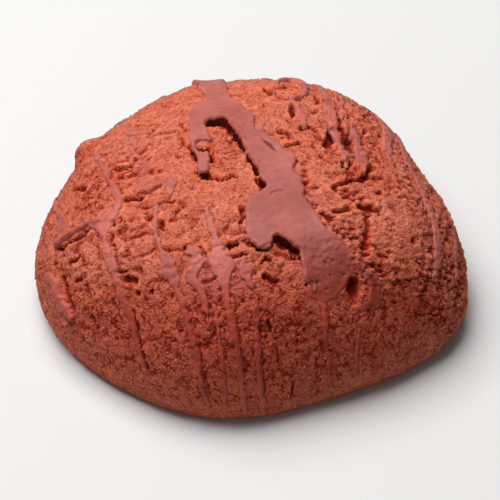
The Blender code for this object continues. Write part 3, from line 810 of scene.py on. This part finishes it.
def icosahedron():
    golden = (1 + math.sqrt(5)) / 2
    corners = [(0, s, t * golden) for s in (-1, 1) for t in (-1, 1)]
    corners += [(y, z, x) for x, y, z in corners] + [(z, x, y) for x, y, z in corners]
    corners = np.array(corners) / math.hypot(1, golden)
    # a side is three corners that lie an edge apart, which is 1.05
    sides = [(i, j, k) for i in range(12) for j in range(i + 1, 12) for k in range(j + 1, 12)
             if max(np.linalg.norm(corners[p] - corners[q]) for p, q in ((i, j), (j, k), (i, k))) < 1.06]
    outward = [np.dot(np.cross(corners[i], corners[j]), corners[k]) > 0 for i, j, k in sides]
    return corners, [(i, j, k) if out else (i, k, j) for (i, j, k), out in zip(sides, outward)]


def makeCrumbs(material):
    look = crumbs
    draw = random.Random(look["seed"])
    places = []
    while len(places) < look["count"] * look["tries"]:
        u, v = draw.uniform(-look["reach"], look["reach"]), draw.uniform(-look["reach"], look["reach"])
        if math.hypot(u, v) < skinRadius - look["margin"]:
            places.append((u, v))
    u, v = np.array(places).T
    base = smoothSkin(u, v)
    soft, cut, fine, _ = crustRelief(u, v)
    thickness, _, _ = chocolateThickness(u, v, base)
    rich = atLeast(look["few"], smoothStep(noiseAt(base, *look["patch"]), *look["patchEdge"]))
    chance = np.array([draw.random() for _ in places])
    free = (thickness < -look["clear"]) & (cut < look["deepest"]) & (chance < rich)
    keep = np.nonzero(free)[0][:look["count"]]
    middles = skinPlace(u[keep], v[keep], (soft - cut + fine)[keep])
    normals = skinNormal(u[keep], v[keep])

    corners, sides = icosahedron()
    points, faces = [], []
    least, most = look["radius"]
    for middle, normal in zip(middles, normals):
        radius = least + (most - least) * draw.random() ** look["smaller"]
        squash = np.array([draw.uniform(*look["squash"]) for _ in range(3)])
        jitter = np.array([draw.uniform(*look["jitter"]) for _ in corners])[:, None]
        start = len(points) * len(corners)
        points.append(middle + normal * radius * look["raised"] + corners * squash * jitter * radius)
        faces += [(start + i, start + j, start + k) for i, j, k in sides]
    points = np.concatenate(points)
    points[:, 2] = np.maximum(points[:, 2], dough["floorGap"])
    return newMesh("crumbs", points, faces, material,
                   {"brownedAndShaded": np.repeat(browningAndShade(u[keep], v[keep]), len(corners))})


# Materials

def feed(value, socket):
    if isinstance(value, bpy.types.NodeSocket):
        socket.id_data.links.new(value, socket)
    elif hasattr(socket.default_value, "__len__") and len(value) == 3:
        socket.default_value = (*value, 1)
    else:
        socket.default_value = value


def mixColours(share, first, second, blend="MIX"):
    node = share.id_data.nodes.new("ShaderNodeMix")
    node.data_type = "RGBA"
    node.blend_type = blend
    for label, value in (("Factor", share), ("A", first), ("B", second)):
        feed(value, node.inputs[label])
    return node.outputs["Result"]


def maths(what, first, second, clamp=False):
    socket = first if isinstance(first, bpy.types.NodeSocket) else second
    node = socket.id_data.nodes.new("ShaderNodeMath")
    node.operation = what
    node.use_clamp = clamp
    feed(first, node.inputs[0])
    feed(second, node.inputs[1])
    return node.outputs[0]


def times(first, second):
    return maths("MULTIPLY", first, second)


def plus(first, second, clamp=False):
    return maths("ADD", first, second, clamp)


def minus(first, second, clamp=False):
    return maths("SUBTRACT", first, second, clamp)


def noiseNode(place, scale, detail, roughness):
    node = place.id_data.nodes.new("ShaderNodeTexNoise")
    for label, value in (("Vector", place), ("Scale", scale), ("Detail", detail), ("Roughness", roughness)):
        feed(value, node.inputs[label])
    return node.outputs[0]


def remap(value, low, high, toLow=0, toHigh=1):
    node = value.id_data.nodes.new("ShaderNodeMapRange")
    for socket, number in zip(node.inputs[:5], (value, low, high, toLow, toHigh)):
        feed(number, socket)
    return node.outputs["Result"]


def spots(place, scale, detail, roughness, *span):
    return remap(noiseNode(place, scale, detail, roughness), *span)


def objectPlace(tree):
    return tree.nodes.new("ShaderNodeTexCoord").outputs["Object"]


def attribute(tree, name):
    node = tree.nodes.new("ShaderNodeAttribute")
    node.attribute_name = name
    return node.outputs["Fac"]


def startMaterial(name, roughness, specular):
    material = bpy.data.materials.new(name)
    material.use_nodes = True
    shader = material.node_tree.nodes["Principled BSDF"]
    shader.inputs["Roughness"].default_value = roughness
    shader.inputs["Specular IOR Level"].default_value = specular
    return material, material.node_tree, shader


def finishMaterial(tree, shader, colour, height, strength, distance):
    tree.links.new(colour, shader.inputs["Base Color"])
    bump = tree.nodes.new("ShaderNodeBump")
    bump.inputs["Strength"].default_value = strength
    bump.inputs["Distance"].default_value = distance * mm
    tree.links.new(height, bump.inputs["Height"])
    tree.links.new(bump.outputs["Normal"], shader.inputs["Normal"])


# Baked crumb. A noise is its scale, detail and roughness, then where its spots start and are full.
crumbTexture = {
    "fine": (3, 0.65), "fineScale": 1.3,  # finer than the grains by this
    "broad": (420, 4, 0.65, 0.36, 0.64), "grainShare": 0.4, "broadShare": 0.6,
    "patch": (110, 3, 0.6, 0.4, 0.62), "patchTint": (1, 0.93, 0.80),
    "bend": (900, 2, 0.5), "bendReach": 1.1,
    "crack": 780, "crackWidth": 0.17,
    "cracked": (700, 2, 0.5, 0.46, 0.58),
    "speck": (1500, 2, 0.6, 0.6, 0.72),
    # the gaps, cracks and specks below are painted in shade
    "edge": (0.35, 0.75), "gap": (0.4, 0.58),
    "gapDark": 0.3, "crazedDark": 0.45, "speckDark": 0.15,
    "fineHeight": 0.7, "edgeHeight": 0.35, "speckHeight": 0.6,
}


def crumbGroup():
    # Colours that change from grain to grain, a painted highlight on crests, painted shade in the gaps, fine
    # cracks, pores and hollows, and a height for a bump
    look = crumbTexture
    tree = bpy.data.node_groups.new("bakedCrumb", "ShaderNodeTree")
    for label in ("Pale", "Deep", "Gap", "Lip"):
        tree.interface.new_socket(label, in_out="INPUT", socket_type="NodeSocketColor")
    for label in ("HollowShade", "CrestHighlight", "Crazing", "Grain size"):
        tree.interface.new_socket(label, in_out="INPUT", socket_type="NodeSocketFloat")
    tree.interface.new_socket("Colour", in_out="OUTPUT", socket_type="NodeSocketColor")
    tree.interface.new_socket("Height", in_out="OUTPUT", socket_type="NodeSocketFloat")
    given, out = tree.nodes.new("NodeGroupInput").outputs, tree.nodes.new("NodeGroupOutput")
    place = objectPlace(tree)
    scale = maths("DIVIDE", 1 / mm, given["Grain size"])
    grains = tree.nodes.new("ShaderNodeTexVoronoi")
    tree.links.new(place, grains.inputs["Vector"])
    tree.links.new(scale, grains.inputs["Scale"])
    each = tree.nodes.new("ShaderNodeSeparateColor")
    tree.links.new(grains.outputs["Color"], each.inputs["Color"])
    fine = noiseNode(place, times(scale, look["fineScale"]), *look["fine"])
    broad = times(spots(place, *look["broad"]), look["broadShare"])
    tone = plus(times(each.outputs[0], look["grainShare"]), broad)
    colour = mixColours(tone, given["Pale"], given["Deep"])
    colour = mixColours(spots(place, *look["patch"]), colour, look["patchTint"], "MULTIPLY")
    # raised crumb painted lighter in the Lip colour, as a highlight
    colour = mixColours(given["CrestHighlight"], colour, given["Lip"])

    # fine cracks, painted in shade: edges between crooked cells, only in places
    bend = noiseNode(place, *look["bend"]).node
    bent = tree.nodes.new("ShaderNodeVectorMath")
    bent.operation = "MULTIPLY_ADD"
    tree.links.new(bend.outputs["Color"], bent.inputs[0])
    bent.inputs[1].default_value = [look["bendReach"] * mm] * 3
    tree.links.new(place, bent.inputs[2])
    cracks = tree.nodes.new("ShaderNodeTexVoronoi")
    cracks.feature = "DISTANCE_TO_EDGE"
    tree.links.new(bent.outputs[0], cracks.inputs["Vector"])
    cracks.inputs["Scale"].default_value = look["crack"]
    line = remap(cracks.outputs["Distance"], 0.0, look["crackWidth"], 1.0, 0.0)
    line = times(times(line, spots(place, *look["cracked"])), given["Crazing"])

    # dark gaps between grains, pores and hollows: painted shade, mixed towards the Gap colour
    speck = spots(place, *look["speck"])
    edge = remap(grains.outputs["Distance"], *look["edge"])
    gaps = times(edge, remap(fine, *look["gap"]))
    darker = plus(times(given["Crazing"], look["crazedDark"]), look["gapDark"])
    shade = plus(times(gaps, darker), line)
    shade = plus(shade, times(speck, plus(darker, look["speckDark"])))
    shade = plus(shade, given["HollowShade"], clamp=True)
    tree.links.new(mixColours(shade, colour, given["Gap"]), out.inputs["Colour"])
    height = minus(times(fine, look["fineHeight"]), times(edge, look["edgeHeight"]))
    height = minus(minus(height, line), times(speck, look["speckHeight"]))
    tree.links.new(height, out.inputs["Height"])
    return tree


doughLook = {
    "pale": (0.615, 0.188, 0.120),
    "deep": (0.40, 0.088, 0.050),
    # painted shade in gaps, cracks, pores and hollows
    "gap": (0.23, 0.012, 0.002),
    # the painted highlight on raised crumb
    "lip": (0.80, 0.215, 0.110),
    "torn": (0.54, 0.085, 0.024),  # the lips of the torn places
    "stain": (0.40, 0.098, 0.074),  # where chocolate has only soaked in
    "stainShare": 0.6,
    "side": (0.82, 0.60, 0.52),  # the tint of painted shade and browning on the front and sides
    "crest": 0.8,
    "crazing": (0, 0.8, 0.35, 1),  # from this share of painted shade and browning to that, and the crazing there
    "grainSize": 0.48,
    "roughness": 0.9,
    "specular": 0.15,
    "bump": (0.6, 0.42),  # strength, height
}


def placeCrumb(tree, group, hollow, crest, crazing, grainSize):
    node = tree.nodes.new("ShaderNodeGroup")
    node.node_tree = group
    values = {"HollowShade": hollow, "CrestHighlight": crest, "Crazing": crazing, "Grain size": grainSize}
    values.update((label, doughLook[label.lower()]) for label in ("Pale", "Deep", "Gap", "Lip"))
    for label, value in values.items():
        feed(value, node.inputs[label])
    return node.outputs["Colour"], node.outputs["Height"]


def doughMaterial(crumb):
    look = doughLook
    material, tree, shader = startMaterial("bakedDough", look["roughness"], look["specular"])
    # painted shade in the hollows and a painted highlight on the crests
    hollow, brownedAndShaded = attribute(tree, "hollow"), attribute(tree, "brownedAndShaded")
    colour, height = placeCrumb(tree, crumb, hollow, times(attribute(tree, "crest"), look["crest"]),
                                remap(brownedAndShaded, *look["crazing"]), look["grainSize"])
    colour = mixColours(attribute(tree, "torn"), colour, look["torn"])
    stain = times(attribute(tree, "stain"), look["stainShare"])
    colour = mixColours(stain, colour, look["stain"])
    # hollows in the stains painted darker still, as shade
    colour = mixColours(times(hollow, stain), colour, look["gap"])
    # painted shade and browning on the front and sides
    colour = mixColours(brownedAndShaded, colour, look["side"], "MULTIPLY")
    finishMaterial(tree, shader, colour, height, *look["bump"])
    return material


# the loose crumbs take a little of the painted highlight all over
crumbLook = {"crest": 0.3, "crazing": 0.3, "grainSize": 0.3, "bump": (0.5, 0.12)}


def crumbMaterial(crumb):
    look = crumbLook
    material, tree, shader = startMaterial("looseCrumb", doughLook["roughness"], doughLook["specular"])
    colour, height = placeCrumb(tree, crumb, 0.0, look["crest"], look["crazing"], look["grainSize"])
    # painted shade and browning on the front and sides
    colour = mixColours(attribute(tree, "brownedAndShaded"), colour, doughLook["side"], "MULTIPLY")
    finishMaterial(tree, shader, colour, height, *look["bump"])
    return material


chocolateLook = {
    "pour": (0.365, 0.100, 0.080),
    "line": (0.45, 0.115, 0.089),
    "deep": (0.27, 0.062, 0.047),
    "shadedFilm": (0.72, 0.65, 0.65),  # painted shade on the pour where it runs out
    "under": (0.055, 0.0025, 0.001),  # painted shade in the gap below its edge
    # the tint of painted shade and browning on the front and sides
    "side": (0.82, 0.42, 0.31),
    # each noise is its scale, detail and roughness, then what it is read from and to
    "waves": (300, 3, 0.55), "waved": (0.35, 0.65, 0, 0.4),
    "mottle": (1000, 3, 0.6, 0.45, 0.75, 0, 0.6),
    "wide": (130, 2, 0.5, 0.4, 0.6, -0.1, 0.35),
    "crazing": 0.4, "grainSize": 0.42,
    "bare": 0.55,  # share of the crumb's colour where the chocolate doesn't cover it
    # levels between which the edge is painted dark as the shade below it: how they rise over a tear, and
    # where they are elsewhere
    "darkBelow": (0.68, 0.25), "clearAbove": (0.4, 0.1),
    # where the creases are painted in shade
    "crease": (-0.06, 0.06, 0, 0.85),
    "roughness": (0.55, 0.75),  # thick, thin
    "specular": 0.2,
    "grainHeight": (0.12, 0.8), "waveHeight": 0.8,
    "bump": (0.3, 0.15),
}


def chocolateMaterial(crumb):
    look = chocolateLook
    material, tree, shader = startMaterial("milkChocolate", look["roughness"][0], look["specular"])
    place = objectPlace(tree)
    waves = noiseNode(place, *look["waves"])
    blotch = plus(remap(waves, *look["waved"]), spots(place, *look["mottle"]))
    blotch = plus(blotch, spots(place, *look["wide"]), clamp=True)
    colour = mixColours(attribute(tree, "thin"), look["pour"], look["line"])
    colour = mixColours(blotch, colour, look["deep"])
    grain, grainHeight = placeCrumb(tree, crumb, 0.0, 0.0, look["crazing"], look["grainSize"])
    bare = minus(1.0, attribute(tree, "cover"), clamp=True)
    colour = mixColours(times(bare, look["bare"]), colour, grain)
    # painted shade where the pour runs out low on the right
    colour = mixColours(attribute(tree, "shadedFilm"), colour, look["shadedFilm"], "MULTIPLY")
    # the edge over a tear and the low walls, painted near black as shade below the chocolate
    overTearShade = attribute(tree, "overTearShade")
    (lowRise, lowest), (highRise, highest) = look["darkBelow"], look["clearAbove"]
    low = minus(times(overTearShade, lowRise), lowest)
    high = plus(times(overTearShade, highRise), highest)
    under = remap(attribute(tree, "level"), low, high, 1.0, 0.0)
    # the creases painted in shade as well
    under = maths("MAXIMUM", under, remap(attribute(tree, "crease"), *look["crease"]))
    colour = mixColours(under, colour, look["under"])
    # painted shade and browning on the front and sides
    colour = mixColours(attribute(tree, "brownedAndShaded"), colour, look["side"], "MULTIPLY")
    tree.links.new(remap(bare, 0.0, 1.0, *look["roughness"]), shader.inputs["Roughness"])
    height = plus(times(grainHeight, remap(bare, 0.0, 1.0, *look["grainHeight"])),
                  times(waves, look["waveHeight"]))
    finishMaterial(tree, shader, colour, height, *look["bump"])
    return material


# The set: floor, light and camera

setUp = {
    "floorColour": (0.56, 0.558, 0.555), "floorLook": (0.7, 0.3), "floorHalf": 3000,
    "world": 0.13,
    # the lights' sizes and places, in metres
    "keySize": 0.5, "keyPower": 7.3, "keyPlace": (-0.16, 0.15, 0.6),
    "fillSize": 0.4, "fillPower": 0.26, "fillPlace": (-0.25, -0.45, 0.12),
    "lightTarget": (0, 0, 0.01),
    "cameraTarget": (0, -3.24, 8.87), "cameraDistance": 420, "elevation": 46, "lens": 185,
}


def addObject(name, data, place, along):
    # A light or the camera, turned to look along a direction
    obj = bpy.data.objects.new(name, data)
    obj.location = place
    obj.rotation_mode = "QUATERNION"
    obj.rotation_quaternion = along.to_track_quat("-Z", "Y")
    bpy.context.scene.collection.objects.link(obj)
    return obj


def makeFloor():
    material, _, shader = startMaterial("paleFloor", *setUp["floorLook"])
    shader.inputs["Base Color"].default_value = (*setUp["floorColour"], 1)
    corners = np.array([(-1, -1, 0), (1, -1, 0), (1, 1, 0), (-1, 1, 0)]) * setUp["floorHalf"]
    newMesh("floor", corners, [(0, 1, 2, 3)], material)


def makeLights():
    for name in ("key", "fill"):
        data = bpy.data.lights.new(name + "Light", "AREA")
        data.size, data.energy = setUp[name + "Size"], setUp[name + "Power"]
        place = Vector(setUp[name + "Place"])
        addObject(name + "Light", data, place, Vector(setUp["lightTarget"]) - place)
    world = bpy.data.worlds.new("studio")
    world.use_nodes = True
    background = world.node_tree.nodes["Background"]
    background.inputs["Color"].default_value = (1, 1, 1, 1)
    background.inputs["Strength"].default_value = setUp["world"]
    bpy.context.scene.world = world
    bpy.context.scene.view_settings.view_transform = "Standard"


def makeCamera():
    data = bpy.data.cameras.new("camera")
    data.lens = setUp["lens"]
    data.clip_start, data.clip_end = 0.01, 10
    tilt = math.radians(setUp["elevation"])
    back = Vector((0, -math.cos(tilt), math.sin(tilt)))
    place = (Vector(setUp["cameraTarget"]) + back * setUp["cameraDistance"]) * mm
    bpy.context.scene.camera = addObject("camera", data, place, -back)


crumb = crumbGroup()
doughPiece = makeDough(doughMaterial(crumb))
print("dough made:", len(doughPiece.data.polygons), "faces")
chocolatePiece = makeChocolate(chocolateMaterial(crumb))
print("chocolate made:", len(chocolatePiece.data.polygons), "faces")
crumbPiece = makeCrumbs(crumbMaterial(crumb))
print("crumbs made:", len(crumbPiece.data.polygons), "faces")

for piece in (doughPiece, chocolatePiece, crumbPiece):
    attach(piece, "root")
    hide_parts("cookie")

makeFloor()
makeLights()
makeCamera()
print("set made")
